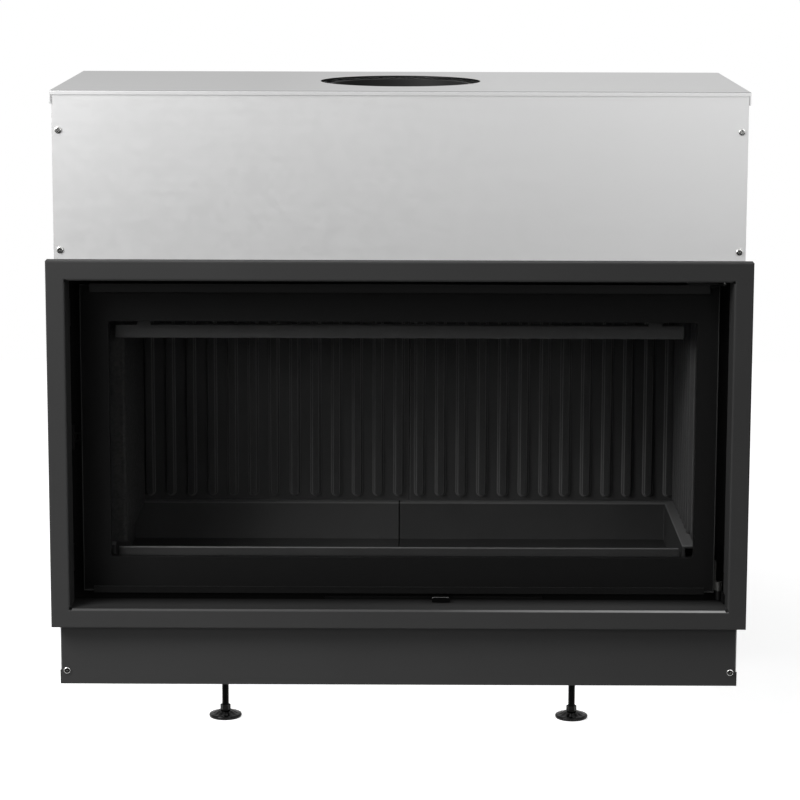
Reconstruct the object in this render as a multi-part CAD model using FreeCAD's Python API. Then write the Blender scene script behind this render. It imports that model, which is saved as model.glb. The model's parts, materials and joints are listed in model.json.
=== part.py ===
import FreeCAD, Part
import math
import os

V = FreeCAD.Vector

# Fireplace insert with a hinged glass door, in millimetres.
# X runs along the width, the front faces -Y, and +Z is up.
# The origin is on the floor, under the middle of the insert's box.

# Overall sizes
frame_width = 1000.0
frame_height = 532.0
overall_depth = 444.0
leg_height = 64.0
skirt_height = 90.0
hood_height = 239.0

# One overrun for every cut, how close two places count as one, and clearances of moving pieces
overrun = 5.0
same_place = 0.001
slide_clearance = 0.3
running_clearance = 0.05

# Surround frame of folded sheet
frame_face = 28.0
frame_sheet = 3.0
frame_projection = 24.0
frame_return = 50.0
sill_depth = 63.0
frame_edge_round = 2.0
frame_lip_round = 4.0
relief_radius = 2.5
relief_depth = 7.0

# Casing of thin sheet
casing_inset = 10.0
casing_sheet = 2.0
casing_flange = 24.0
panel_tuck = 12.0
rear_panel_inset = 4.0
lid_overhang = 2.5
lid_flange = 19.0
lid_front_lip = 6.0
lid_edge_round = 1.5
lid_hole_radius = 117.0
skirt_inset = 1.5
ear_overhang = 2.5
ear_height = 21.0

# Casing screws, with pan heads
screw_inset = 9.0
screw_head_radius = 5.0
screw_head_height = 2.8
screw_head_round = 1.6
screw_shank_radius = 2.0
screw_shank_length = 9.0
recess_width = 1.2
recess_length = 5.0
recess_depth = 1.4
upper_screw_drop = 56.0
lower_screw_rise = 13.0
skirt_screw_rise = 20.5
lid_screw_shares = (0.18, 0.82)
rear_screw_shares = (0.06, 0.5, 0.94)

# Base tray and the rails that carry the firebox
tray_sheet = 3.0
tray_flange = 25.0
vent_length = 28.0
vent_width = 10.0
vent_columns = 5
vent_rows = 6
vent_column_pitch = 56.0
vent_row_pitch = 46.0
rail_spacing_share = 0.66
rail_width = 40.0
rail_sheet = 3.0
rail_end_inset = 12.0

# Firebox shell of welded plate
plate_thickness = 4.0
shell_plate = 4.0
firebox_inset = 19.0
hearth_rise = 9.0
hood_gap = 125.0
convection_gap = 30.0
plate_side_clearance = 2.0
plate_above_opening = 14.0
plate_below_slider = 12.0
plate_opening_inset = 26.0

# Flue collar
flue_offset = 12.0
collar_bore_radius = 100.5
flue_hole_clearance = 2.0
collar_wall = 4.0
collar_drop = 4.0
collar_flange_radius = 130.0
collar_flange_thickness = 6.0
collar_bolt_count = 6
collar_bolt_circle = 117.0
collar_bolt_radius = 4.0
collar_bolt_across_flats = 13.0
collar_bolt_head = 5.3

# Firebox lining
lining_gap = 2.0
tray_wall = 5.0
tray_height = 57.0
tray_ledge_depth = 22.0
tray_slope_run = 28.0
tray_side_ledge = 26.0
tray_side_lean = 3.0
half_gap = 1.0
fireback_plate = 8.0
rib_height = 8.0
rib_base = 16.0
rib_crest = 10.5
rib_count = 26
rib_end_margin = 3.5
rib_shift = 15.0
rib_foot_rise = 15.0
side_slab_thickness = 42.0
side_slab_round = 5.0
side_plate_thickness = 9.0
side_rib_count = 8
side_rib_margin = 9.0
lining_drop = 10.0
baffle_thickness = 14.0
smoke_gap = 60.0
retainer_thickness = 6.0
retainer_height = 53.0
retainer_round = 2.6
retainer_end_gap = 2.0
retainer_lug_width = 12.0
retainer_lug_depth = 26.0
retainer_lug_height = 10.0
retainer_lug_share = 0.7

# Air-wash deflector behind the top of the window
wash_lip_height = 19.0
wash_lip_drop = 28.0
wash_sheet = 3.0
wash_shelf_depth = 14.0
wash_end_inset = 30.0
wash_hanger_width = 20.0
wash_hanger_lap = 20.0
wash_hanger_share = 0.9

# Door
door_setback = 63.0
door_side_gap = 12.0
door_bottom_gap = 9.0
door_top_gap = 12.0
glass_thickness = 4.0
glass_edge_clearance = 0.5
gasket_thickness = 2.0
gasket_width = 10.0
gasket_inset = 12.0
door_frame_thickness = 12.0
border_catch_side = 41.0
border_hinge_side = 31.0
border_bottom = 52.0
border_top = 55.0
window_corner = 4.0
catch_side_inset = 6.0
rope_inset = 8.0
rope_width = 10.0
rope_groove = 4.0
rope_corner = 18.0
rope_round = 3.5
seal_gap = 4.0
strip_sheet = 2.0
strip_end_inset = 15.0
strip_bottom_lip = 9.5
strip_top_lip = 12.5
strip_screw_radius = 2.0
strip_screw_head_radius = 3.6
strip_screw_length = 11.0
strip_screw_setback = 6.0
strip_screw_shares = (-0.86, 0.0, 0.86)

# Hinges at the right
hinge_forward = 6.0
barrel_clearance = 1.5
barrel_length = 13.0
hinge_foot = 3.0
pin_radius = 2.5
leaf_sheet = 3.0
leaf_height = 42.0
bracket_sheet = 3.0
bracket_grip = 22.0
lug_length = 48.0

# Roller catch at the left
catch_share = 0.5
catch_height = 36.0
catch_depth = 19.0
catch_width = 16.0
plunger_height = 15.0
plunger_depth = 9.0
plunger_ear = 3.0
catch_reach = 2.0
catch_travel = 3.0
plunger_stop_gap = 1.0
roller_radius = 4.0
roller_axle_radius = 1.5
roller_gap = 0.7
strike_height = 24.0
strike_depth = 9.0
strike_reach = 4.6

# Air slider under the door, and its knob
slider_travel = 132.0
slider_sheet = 3.0
slider_height = 52.0
slider_bridge = 9.4
slider_margin = 14.0
slider_first_pin = -90.0
slider_pin_radius = 4.0
slider_pin_head_radius = 7.0
slider_pin_head = 2.5
slider_pin_tail_radius = 3.0
slider_pin_drop = 12.0
air_port_length = 120.0
air_port_height = 22.0
air_port_rise = 6.0
arm_place = 61.0
arm_width = 20.0
arm_rise = 2.0
arm_sheet = 3.0
knob_setback = 44.0
knob_width = 26.0
knob_thickness = 3.0
knob_headroom = 0.6
knob_floor_gap = 1.2
knob_corner = 3.0

# Brackets between the frame and the firebox front plate
stay_sheet = 3.0
stay_height = 40.0
stay_foot = 8.0
stay_lap = 20.0
stay_shares = (0.12, 0.88)

# Levelling feet
foot_spacing_share = 0.51
foot_front_setback = 78.0
foot_rear_setback = 60.0
foot_pad_radius = 24.0
foot_pad_rim = 5.0
foot_pad_round = 1.8
foot_neck_base = 19.0
foot_neck_top = 10.0
foot_neck_height = 4.5
foot_fin_count = 12
foot_fin_width = 1.6
foot_fin_height = 2.0
foot_hex_across_flats = 13.0
foot_hex_height = 9.5
foot_rod_radius = 5.0
foot_rod_rise = 54.0
foot_nut_across_flats = 17.0
foot_nut_height = 8.4

# Places worked out from the sizes above
front_y = -overall_depth / 2
rear_y = overall_depth / 2
frame_half = frame_width / 2
frame_bottom = leg_height + skirt_height
frame_top = frame_bottom + frame_height
lid_top = frame_top + hood_height
opening_half = frame_half - frame_face
opening_bottom = frame_bottom + frame_face
opening_top = frame_top - frame_face

casing_half = frame_half - casing_inset
casing_front_y = front_y + frame_projection
panel_back_y = casing_front_y + casing_sheet
front_flange_back_y = panel_back_y + casing_sheet
casing_rear_y = rear_y - casing_sheet
rear_panel_back_y = casing_rear_y - rear_panel_inset
rear_panel_front_y = rear_panel_back_y - casing_sheet
rear_flange_front_y = rear_panel_front_y - casing_sheet
lid_underside = lid_top - casing_sheet
tray_top = leg_height + tray_sheet
screw_x = casing_half - screw_inset

door_half = opening_half - door_side_gap
door_bottom = opening_bottom + door_bottom_gap
door_top = opening_top - door_top_gap
glass_front_y = front_y + door_setback
glass_back_y = glass_front_y + glass_thickness
gasket_back_y = glass_back_y + gasket_thickness
door_back_y = gasket_back_y + door_frame_thickness
glass_bottom = door_bottom + strip_sheet
glass_top = door_top - strip_sheet
window_left = -door_half + border_catch_side
window_right = door_half - border_hinge_side
window_bottom = door_bottom + border_bottom
window_top = door_top - border_top

slot_half = slider_pin_radius + slide_clearance
slot_length = slider_travel + 2 * slot_half
slider_pin_places = (slider_first_pin, slider_first_pin + slot_length + slider_bridge)
slider_left = slider_first_pin - slot_half - slider_margin
slider_right = slider_pin_places[1] - slot_half + slot_length + slider_margin

plate_front_y = door_back_y + seal_gap
plate_back_y = plate_front_y + plate_thickness
plate_half = casing_half - casing_sheet - plate_side_clearance
slider_top = opening_bottom
slider_bottom = slider_top - slider_height
plate_bottom = slider_bottom - plate_below_slider
plate_top = opening_top + plate_above_opening
seat_half = door_half - plate_opening_inset
seat_bottom = door_bottom + plate_opening_inset
seat_top = door_top - plate_opening_inset

firebox_half = door_half - firebox_inset
floor_level = door_bottom + hearth_rise
floor_underside = floor_level - shell_plate
shell_top = lid_top - hood_gap
shell_ceiling = shell_top - shell_plate
shell_rear_y = rear_flange_front_y - convection_gap
shell_back_y = shell_rear_y - shell_plate
rail_place = rail_spacing_share * frame_half

lining_front_y = plate_back_y + lining_gap
side_front_y = plate_back_y + wash_shelf_depth + lining_gap
fireback_face_y = shell_back_y - fireback_plate
rib_crest_y = fireback_face_y - rib_height
rib_pitch = 2 * (firebox_half - rib_shift - rib_end_margin) / rib_count
tray_rim = floor_level + tray_height
lining_top = door_top - lining_drop

hinge_x = door_half + door_side_gap / 2
hinge_y = glass_front_y - hinge_forward
barrel_radius = door_side_gap / 2 - barrel_clearance
bracket_barrel_top = opening_bottom + hinge_foot + barrel_length
leaf_bottom = bracket_barrel_top + slide_clearance
lug_top = door_top + leaf_sheet

catch_z = opening_bottom + catch_share * (opening_top - opening_bottom)
catch_y = plate_front_y - catch_depth / 2
catch_front_x = -opening_half + catch_reach
catch_rear_x = catch_front_x - catch_width
strike_tip_x = -door_half + catch_side_inset - strike_reach
roller_x = strike_tip_x - roller_gap - roller_radius

foot_places = []
for foot_y in (front_y + foot_front_setback, rear_y - foot_rear_setback):
    for side in (-1, 1):
        foot_places.append((side * foot_spacing_share * frame_half, foot_y))


def slab(x, y, z):
    """Box between the two values given for each axis."""
    corner = V(min(x), min(y), min(z))
    return Part.makeBox(abs(x[1] - x[0]), abs(y[1] - y[0]), abs(z[1] - z[0]), corner)


def both(half):
    """The same distance to the left and to the right of the middle."""
    return (-half, half)


def around(middle, size):
    """A span of the given size with its middle at one place."""
    return (middle - size / 2, middle + size / 2)


def bar(radius, start, end):
    """Round bar from one point to another."""
    along = end.sub(start)
    return Part.makeCylinder(radius, along.Length, start, along)


def prism(outline, travel):
    """Solid swept from a closed outline along a vector."""
    return Part.Face(Part.makePolygon(outline + outline[:1])).extrude(travel)


def hexagon(across_flats, height, base):
    """Upright hexagonal prism."""
    reach = across_flats / math.sqrt(3)
    corners = []
    for turn in range(6):
        angle = math.pi * turn / 3
        corners.append(base + V(reach * math.cos(angle), reach * math.sin(angle), 0))
    return prism(corners, V(0, 0, height))


def joined(*pieces):
    """One solid from pieces that touch or overlap."""
    return pieces[0].fuse(list(pieces[1:])).removeSplitter()


def mirrored(shape):
    """The same piece on the other side of the middle."""
    return shape.mirror(V(0, 0, 0), V(1, 0, 0))


def aimed(shape, place, direction):
    """A piece made along +Z, turned to a direction and moved to a place."""
    turned = shape.copy()
    turned.Placement = FreeCAD.Placement(place, FreeCAD.Rotation(V(0, 0, 1), direction))
    return turned


def rounded(shape, radius, wanted):
    """Fillet on the edges that pass a test."""
    edges = [edge for edge in shape.Edges if wanted(edge)]
    return shape.makeFillet(radius, edges)


def near(first, second):
    """True where two places are the same."""
    return abs(first - second) < same_place


def upright_sheet(x, y, z, corner):
    """Slab with its four corners rounded, seen from the front."""

    def runs_back(edge):
        return edge.BoundBox.YLength > edge.BoundBox.DiagonalLength / 2

    return rounded(slab(x, y, z), corner, runs_back)


def save(name, *solids):
    """Write one node."""
    shape = solids[0] if len(solids) == 1 else Part.makeCompound(list(solids))
    shape.exportStep("parts/" + name + ".step")


def surround_frame():
    """Folded frame: flat face, short outer return, deep inner return and a deeper sill."""
    body = slab(both(frame_half), (front_y, casing_front_y), (frame_bottom, frame_top))
    hollow = slab(
        both(frame_half - frame_sheet),
        (front_y + frame_sheet, casing_front_y + overrun),
        (frame_bottom + frame_sheet, frame_top - frame_sheet),
    )
    tunnel = slab(
        both(opening_half + frame_sheet),
        (front_y, front_y + frame_return),
        (opening_bottom - frame_sheet, opening_top + frame_sheet),
    )
    sill = slab(
        both(opening_half + frame_sheet),
        (front_y, front_y + sill_depth),
        (opening_bottom - frame_sheet, opening_bottom),
    )
    opening = slab(
        both(opening_half),
        (front_y - overrun, front_y + sill_depth + overrun),
        (opening_bottom, opening_top),
    )
    frame = joined(body.cut(hollow), tunnel, sill).cut(opening)
    inner = frame_half - frame_face / 2

    def front_edge(edge):
        return edge.BoundBox.YMax < front_y + frame_sheet / 2

    def lip_edge(edge):
        middle = edge.CenterOfMass
        within = opening_bottom - frame_face / 2 < middle.z < opening_top + frame_face / 2
        return front_edge(edge) and abs(middle.x) < inner and within

    frame = rounded(frame, frame_lip_round, lip_edge)
    frame = rounded(frame, frame_edge_round, lambda edge: front_edge(edge) and on_frame_rim(edge))
    for x in both(opening_half):
        for z in (opening_bottom, opening_top):
            start = V(x, front_y - overrun, z)
            frame = frame.cut(bar(relief_radius, start, V(x, front_y + relief_depth, z)))
    return frame


def on_frame_rim(edge):
    """True for an edge along the outside of the frame's face."""
    middle = edge.CenterOfMass
    at_side = near(abs(middle.x), frame_half)
    return at_side or near(middle.z, frame_bottom) or near(middle.z, frame_top)


def pan_screw():
    """Cross-recessed screw along +Z, with the underside of its head at zero."""
    head = Part.makeCylinder(screw_head_radius, screw_head_height)
    head = rounded(head, screw_head_round, lambda edge: near(edge.BoundBox.ZMin, screw_head_height))
    recess = (screw_head_height - recess_depth, screw_head_height + overrun)
    for width, length in ((recess_width, recess_length), (recess_length, recess_width)):
        head = head.cut(slab(both(width / 2), both(length / 2), recess))
    return joined(head, bar(screw_shank_radius, V(0, 0, -screw_shank_length), V(0, 0, 0)))


def front_screw_places():
    """Screws that hold the casing's front panel."""
    places = []
    for x in both(screw_x):
        for z in (lid_top - upper_screw_drop, frame_top + lower_screw_rise):
            places.append(V(x, casing_front_y, z))
    return places


def skirt_screw_places():
    """Screws that hold the skirt."""
    return [V(x, casing_front_y, leg_height + skirt_screw_rise) for x in both(screw_x)]


def rear_screw_places():
    """Screws that hold the rear panel."""
    places = []
    for x in both(screw_x):
        for share in rear_screw_shares:
            z = tray_top + tray_flange + share * (lid_underside - lid_flange - tray_top - tray_flange)
            places.append(V(x, rear_panel_back_y, z))
    return places


def lid_screw_places():
    """Screws through the lid's side flanges."""
    places = []
    for side in (-1, 1):
        for share in lid_screw_shares:
            y = casing_front_y + share * (casing_rear_y - casing_front_y)
            places.append(V(side * (casing_half + lid_overhang), y, lid_top - lid_flange / 2))
    return places


def drilled(shape, places, direction):
    """A sheet with a hole for a screw's shank at each place."""
    for place in places:
        start = place.sub(direction * overrun)
        end = place + direction * (screw_shank_length + overrun)
        shape = shape.cut(bar(screw_shank_radius, start, end))
    return shape


def skirt_panel():
    """Painted sheet below the frame, a little wider along its foot."""
    half = casing_half - skirt_inset
    sheet = slab(both(half), (casing_front_y, panel_back_y), (leg_height, frame_bottom + panel_tuck))
    ears = slab(
        both(half + ear_overhang),
        (casing_front_y, panel_back_y),
        (leg_height, leg_height + ear_height),
    )
    return drilled(joined(sheet, ears), skirt_screw_places(), V(0, 1, 0))


def casing_front_panel():
    """Galvanised sheet above the frame."""
    z = (frame_top - panel_tuck, lid_underside)
    sheet = slab(both(casing_half), (casing_front_y, panel_back_y), z)
    return drilled(sheet, front_screw_places(), V(0, 1, 0))


def casing_side():
    """Right-hand side sheet with turned-in flanges, open beside the frame."""
    web_x = (casing_half - casing_sheet, casing_half)
    flange_x = (casing_half - casing_flange, casing_half)
    height = (leg_height, lid_underside)
    web = slab(web_x, (panel_back_y, casing_rear_y), height)
    upper = slab(flange_x, (panel_back_y, front_flange_back_y), (frame_top - panel_tuck, lid_underside))
    lower = slab(flange_x, (panel_back_y, front_flange_back_y), (leg_height, frame_bottom + panel_tuck))
    rear = slab(flange_x, (rear_flange_front_y, rear_panel_front_y), height)
    side = joined(web, upper, lower, rear)
    side = drilled(side, front_screw_places() + skirt_screw_places(), V(0, 1, 0))
    side = drilled(side, rear_screw_places(), V(0, -1, 0))
    return drilled(side, [place for place in lid_screw_places() if place.x > 0], V(-1, 0, 0))


def casing_rear_panel():
    """Galvanised sheet between the sides, set in from their rear edges."""
    half = casing_half - casing_sheet - slide_clearance
    sheet = slab(both(half), (rear_panel_front_y, rear_panel_back_y), (leg_height, lid_underside))
    return drilled(sheet, rear_screw_places(), V(0, -1, 0))


def casing_top_lid():
    """Lid with turned-down edges and the flue hole."""
    half = casing_half + lid_overhang
    outside = slab(both(half), (casing_front_y - casing_sheet, rear_y), (lid_top - lid_flange, lid_top))
    outside = rounded(outside, lid_edge_round, lambda edge: near(edge.BoundBox.ZMin, lid_top))
    inside = slab(
        both(half - casing_sheet),
        (casing_front_y, casing_rear_y),
        (lid_top - lid_flange - overrun, lid_underside),
    )
    front_relief = slab(
        both(half - casing_sheet),
        (casing_front_y - casing_sheet - overrun, casing_front_y + overrun),
        (lid_top - lid_flange - overrun, lid_top - lid_front_lip),
    )
    lid = outside.cut(inside).cut(front_relief)
    hole = bar(lid_hole_radius, V(0, flue_offset, lid_underside - overrun), V(0, flue_offset, lid_top + overrun))
    lid = lid.cut(hole)
    for side in (-1, 1):
        places = [place for place in lid_screw_places() if place.x * side > 0]
        lid = drilled(lid, places, V(-side, 0, 0))
    return lid


def casing_screws():
    """Screws of the front panel, the rear panel and the lid."""
    screws = [aimed(pan_screw(), place, V(0, -1, 0)) for place in front_screw_places()]
    screws += [aimed(pan_screw(), place, V(0, 1, 0)) for place in rear_screw_places()]
    for place in lid_screw_places():
        screws.append(aimed(pan_screw(), place, V(math.copysign(1, place.x), 0, 0)))
    return screws


def base_tray():
    """Floor sheet with turned-up edges, air vents and holes for the feet."""
    half = casing_half - casing_sheet
    span_y = (front_flange_back_y, rear_flange_front_y)
    outside = slab(both(half), span_y, (leg_height, tray_top + tray_flange))
    inside = slab(
        both(half - tray_sheet),
        (span_y[0] + tray_sheet, span_y[1] - tray_sheet),
        (tray_top, tray_top + tray_flange + overrun),
    )
    tray = outside.cut(inside)
    through = (leg_height - overrun, tray_top + overrun)
    middle_y = (span_y[0] + span_y[1]) / 2
    for column in range(vent_columns):
        for row in range(vent_rows):
            x = (column - (vent_columns - 1) / 2) * vent_column_pitch
            y = middle_y + (row - (vent_rows - 1) / 2) * vent_row_pitch
            tray = tray.cut(slab(around(x, vent_length), around(y, vent_width), through))
    for x, y in foot_places:
        start = V(x, y, leg_height - overrun)
        tray = tray.cut(bar(foot_rod_radius + slide_clearance, start, V(x, y, tray_top + overrun)))
    return drilled(tray, skirt_screw_places(), V(0, 1, 0))


def firebox_rail():
    """Right-hand channel that carries the firebox on the base tray."""
    x = around(rail_place, rail_width)
    y = (lining_front_y + rail_end_inset, shell_rear_y - rail_end_inset)
    height = (tray_top, floor_underside)
    outside = slab(x, y, height)
    inside = slab(
        (x[0] + rail_sheet, x[1] + overrun),
        (y[0] - overrun, y[1] + overrun),
        (height[0] + rail_sheet, height[1] - rail_sheet),
    )
    return outside.cut(inside)


def firebox_floor():
    """Bottom plate of the firebox."""
    x = both(firebox_half + shell_plate)
    return slab(x, (plate_back_y, shell_rear_y), (floor_underside, floor_level))


def firebox_side():
    """Right-hand plate of the firebox."""
    x = (firebox_half, firebox_half + shell_plate)
    return slab(x, (plate_back_y, shell_rear_y), (floor_level, shell_ceiling))


def firebox_back():
    """Rear plate of the firebox."""
    return slab(both(firebox_half), (shell_back_y, shell_rear_y), (floor_level, shell_ceiling))


def collar_bolt_places():
    """Bolts around the flue collar's flange."""
    places = []
    for number in range(collar_bolt_count):
        angle = 2 * math.pi * number / collar_bolt_count
        x = collar_bolt_circle * math.cos(angle)
        places.append(V(x, flue_offset + collar_bolt_circle * math.sin(angle), shell_ceiling))
    return places


def firebox_top():
    """Top plate of the firebox, with the way out to the flue."""
    x = both(firebox_half + shell_plate)
    plate = slab(x, (plate_back_y, shell_rear_y), (shell_ceiling, shell_top))
    start = V(0, flue_offset, shell_ceiling - overrun)
    hole_radius = collar_bore_radius + flue_hole_clearance
    plate = plate.cut(bar(hole_radius, start, V(0, flue_offset, shell_top + overrun)))
    for place in collar_bolt_places():
        end = place + V(0, 0, shell_plate + overrun)
        plate = plate.cut(bar(collar_bolt_radius, place - V(0, 0, overrun), end))
    return plate


def firebox_front_plate():
    """Plate that the door closes on, with the air port below the door."""
    plate = slab(both(plate_half), (plate_front_y, plate_back_y), (plate_bottom, plate_top))
    through = (plate_front_y - overrun, plate_back_y + overrun)
    plate = plate.cut(slab(both(seat_half), through, (seat_bottom, seat_top)))
    plate = plate.cut(slab(both(air_port_length / 2), through, air_port_span()))
    for x in slider_pin_places:
        z = slider_top - slider_pin_drop
        hole = bar(slider_pin_tail_radius, V(x, through[0], z), V(x, through[1], z))
        plate = plate.cut(hole)
    return plate


def air_port_span():
    """Lowest and highest place of the air port."""
    return (slider_bottom + air_port_rise, slider_bottom + air_port_rise + air_port_height)


def flue_collar():
    """Round spigot for the flue pipe, with a bolting flange."""
    base = V(0, flue_offset, shell_top)
    top = V(0, flue_offset, lid_top - collar_drop)
    flange = bar(collar_flange_radius, base, base + V(0, 0, collar_flange_thickness))
    collar = joined(flange, bar(collar_bore_radius + collar_wall, base, top))
    collar = collar.cut(bar(collar_bore_radius, base - V(0, 0, overrun), top + V(0, 0, overrun)))
    for place in collar_bolt_places():
        end = place + V(0, 0, shell_plate + collar_flange_thickness + overrun)
        collar = collar.cut(bar(collar_bolt_radius, place, end))
    return collar


def collar_bolts():
    """Hexagon bolts of the flue collar."""
    bolts = []
    for place in collar_bolt_places():
        seat = place + V(0, 0, shell_plate + collar_flange_thickness)
        head = hexagon(collar_bolt_across_flats, collar_bolt_head, seat)
        bolts.append(joined(head, bar(collar_bolt_radius, place, seat)))
    return bolts


def rib(height):
    """Cast rib along +Z that stands out towards -Y, with a rounded foot."""
    outline = [
        V(-rib_base / 2, 0, 0),
        V(-rib_crest / 2, -rib_height, 0),
        V(rib_crest / 2, -rib_height, 0),
        V(rib_base / 2, 0, 0),
    ]
    foot = Part.makeCone(rib_base / 2, rib_crest / 2, rib_height, V(0, 0, 0), V(0, -1, 0))
    return joined(prism(outline, V(0, 0, height)), foot)


def fireback(side):
    """Half of the ribbed cast back; side is -1 for the left half."""
    joint = rib_shift
    x = (side * firebox_half, joint + side * half_gap / 2)
    plate = slab(x, (fireback_face_y, shell_back_y), (tray_rim, lining_top))
    foot = tray_rim + rib_foot_rise
    ribs = []
    for number in range(rib_count // 2):
        place = joint + side * rib_pitch * (number + 1 / 2)
        stood = rib(lining_top - foot)
        stood.translate(V(place, fireback_face_y, foot))
        ribs.append(stood)
    return joined(plate, *ribs)


def side_slab_left():
    """Plain refractory slab on the left, rounded along its front edge."""
    x = (-firebox_half, -firebox_half + side_slab_thickness)
    block = slab(x, (side_front_y, rib_crest_y - half_gap), (tray_rim, lining_top))

    def front_edge(edge):
        return near(edge.BoundBox.XMin, x[1]) and near(edge.BoundBox.YMax, side_front_y)

    return rounded(block, side_slab_round, front_edge)


def side_plate_right():
    """Ribbed cast plate on the right."""
    face_x = firebox_half - side_plate_thickness
    y = (side_front_y, rib_crest_y - half_gap)
    plate = slab((face_x, firebox_half), y, (tray_rim, lining_top))
    foot = tray_rim + rib_foot_rise
    pitch = (y[1] - y[0] - 2 * side_rib_margin) / side_rib_count
    ribs = []
    for number in range(side_rib_count):
        stood = rib(lining_top - foot)
        stood.rotate(V(0, 0, 0), V(0, 0, 1), -90)
        stood.translate(V(face_x, y[0] + side_rib_margin + pitch * (number + 1 / 2), foot))
        ribs.append(stood)
    return joined(plate, *ribs)


def hearth_tray():
    """Right half of the cast hearth tray: floor, sloping back, upright side and a rim."""
    inner_x = half_gap / 2
    rim_x = firebox_half - tray_side_ledge
    rim_y = shell_back_y - tray_ledge_depth
    floor_y = rim_y - tray_slope_run
    floor_top = floor_level + tray_wall
    ledge_bottom = tray_rim - tray_wall
    back = [
        V(inner_x, lining_front_y, floor_level),
        V(inner_x, floor_y + tray_wall / 2, floor_level),
        V(inner_x, rim_y + tray_wall, ledge_bottom),
        V(inner_x, shell_back_y, ledge_bottom),
        V(inner_x, shell_back_y, tray_rim),
        V(inner_x, rim_y, tray_rim),
        V(inner_x, floor_y, floor_top),
        V(inner_x, lining_front_y, floor_top),
    ]
    side = [
        V(rim_x - tray_side_lean, lining_front_y, floor_level),
        V(rim_x + tray_wall, lining_front_y, floor_level),
        V(rim_x + tray_wall, lining_front_y, ledge_bottom),
        V(firebox_half, lining_front_y, ledge_bottom),
        V(firebox_half, lining_front_y, tray_rim),
        V(rim_x, lining_front_y, tray_rim),
    ]
    back_part = prism(back, V(rim_x + tray_wall - inner_x, 0, 0))
    side_part = prism(side, V(0, shell_back_y - lining_front_y, 0))
    return joined(back_part, side_part)


def baffle_plate():
    """Refractory plate that lies on the lining, with the smoke's way open at the front."""
    y = (plate_back_y + smoke_gap, shell_back_y)
    return slab(both(firebox_half - half_gap), y, (lining_top, lining_top + baffle_thickness))


def log_retainer():
    """Cast bar along the front of the hearth, on two lugs."""
    half = firebox_half - tray_side_ledge - tray_side_lean - retainer_end_gap
    y = (lining_front_y, lining_front_y + retainer_thickness)
    seat = floor_level + tray_wall
    top = floor_level + retainer_height
    fence = slab(both(half), y, (seat, top))

    def top_edge(edge):
        return near(edge.BoundBox.ZMin, top) and edge.BoundBox.XLength > retainer_thickness

    fence = rounded(fence, retainer_round, top_edge)
    lugs = []
    for x in both(half * retainer_lug_share):
        lug_y = (y[0], y[1] + retainer_lug_depth)
        lugs.append(slab(around(x, retainer_lug_width), lug_y, (seat, seat + retainer_lug_height)))
    return joined(fence, *lugs)


def air_wash_deflector():
    """Folded strip behind the top of the window, on two hangers."""
    half = firebox_half - wash_end_inset
    bottom = window_top - wash_lip_drop
    top = bottom + wash_lip_height
    lip_y = (plate_back_y, plate_back_y + wash_sheet)
    lip = slab(both(half), lip_y, (bottom, top))
    shelf = slab(both(half), (plate_back_y, plate_back_y + wash_shelf_depth), (top - wash_sheet, top))
    hangers = []
    for x in both(half * wash_hanger_share):
        hangers.append(slab(around(x, wash_hanger_width), lip_y, (bottom, seat_top + wash_hanger_lap)))
    return joined(lip, shelf, *hangers)


def frame_ring(inset, width, y, corner):
    """Ring with rounded corners, set in from the door's edges."""
    outer_x = both(door_half - inset)
    outer_z = (door_bottom + inset, door_top - inset)
    inner_x = both(door_half - inset - width)
    inner_z = (outer_z[0] + width, outer_z[1] - width)
    outer = upright_sheet(outer_x, y, outer_z, corner + width)
    inner = upright_sheet(inner_x, (y[0] - overrun, y[1] + overrun), inner_z, corner)
    return outer.cut(inner)


def strip_screw_places():
    """Middle of each strip screw's head, with the way that it points."""
    half = door_half - strip_end_inset
    y = door_back_y - strip_screw_setback
    places = []
    for share in strip_screw_shares:
        places.append((V(share * half, y, door_bottom), V(0, 0, 1)))
        places.append((V(share * half, y, door_top), V(0, 0, -1)))
    return places


def strip_screw():
    """Countersunk screw along +Z, with the flat of its head at zero."""
    head = Part.makeCone(strip_screw_head_radius, strip_screw_radius, strip_sheet)
    return joined(head, Part.makeCylinder(strip_screw_radius, strip_screw_length))


def strip_screws():
    """Screws that hold the glass strips."""
    return [aimed(strip_screw(), place, way) for place, way in strip_screw_places()]


def door_frame():
    """Welded steel frame behind the glass, grooved for the rope seal."""
    x = (-door_half + catch_side_inset, door_half)
    frame = slab(x, (gasket_back_y, door_back_y), (glass_bottom, glass_top))
    through = (gasket_back_y - overrun, door_back_y + overrun)
    window_x = (window_left, window_right)
    frame = frame.cut(upright_sheet(window_x, through, (window_bottom, window_top), window_corner))
    groove_y = (door_back_y - rope_groove, door_back_y + overrun)
    frame = frame.cut(frame_ring(rope_inset, rope_width, groove_y, rope_corner))
    for screw in strip_screws():
        frame = frame.cut(screw)
    return frame


def door_glass():
    """Ceramic glass pane."""
    x = both(door_half - glass_edge_clearance)
    return slab(x, (glass_front_y, glass_back_y), (glass_bottom, glass_top))


def glass_gasket():
    """Flat tape between the glass and the door frame."""
    return frame_ring(gasket_inset, gasket_width, (glass_back_y, gasket_back_y), window_corner)


def door_rope_seal():
    """Round rope in the door frame's groove, just clear of the seat."""
    y = (door_back_y - rope_groove, plate_front_y - slide_clearance)
    rope = frame_ring(rope_inset, rope_width, y, rope_corner)
    return rounded(rope, rope_round, lambda edge: near(edge.BoundBox.YMin, y[1]))


def glass_strip(edge_z, inward, lip):
    """Folded strip over one long edge of the glass; inward is +1 for the lower one."""
    x = both(door_half - strip_end_inset)
    web_z = (edge_z, edge_z + inward * strip_sheet)
    web = slab(x, (glass_front_y - strip_sheet, door_back_y), web_z)
    front = slab(x, (glass_front_y - strip_sheet, glass_front_y), (edge_z, edge_z + inward * lip))
    strip = joined(web, front)
    for screw in strip_screws():
        strip = strip.cut(screw)
    return strip


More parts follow.
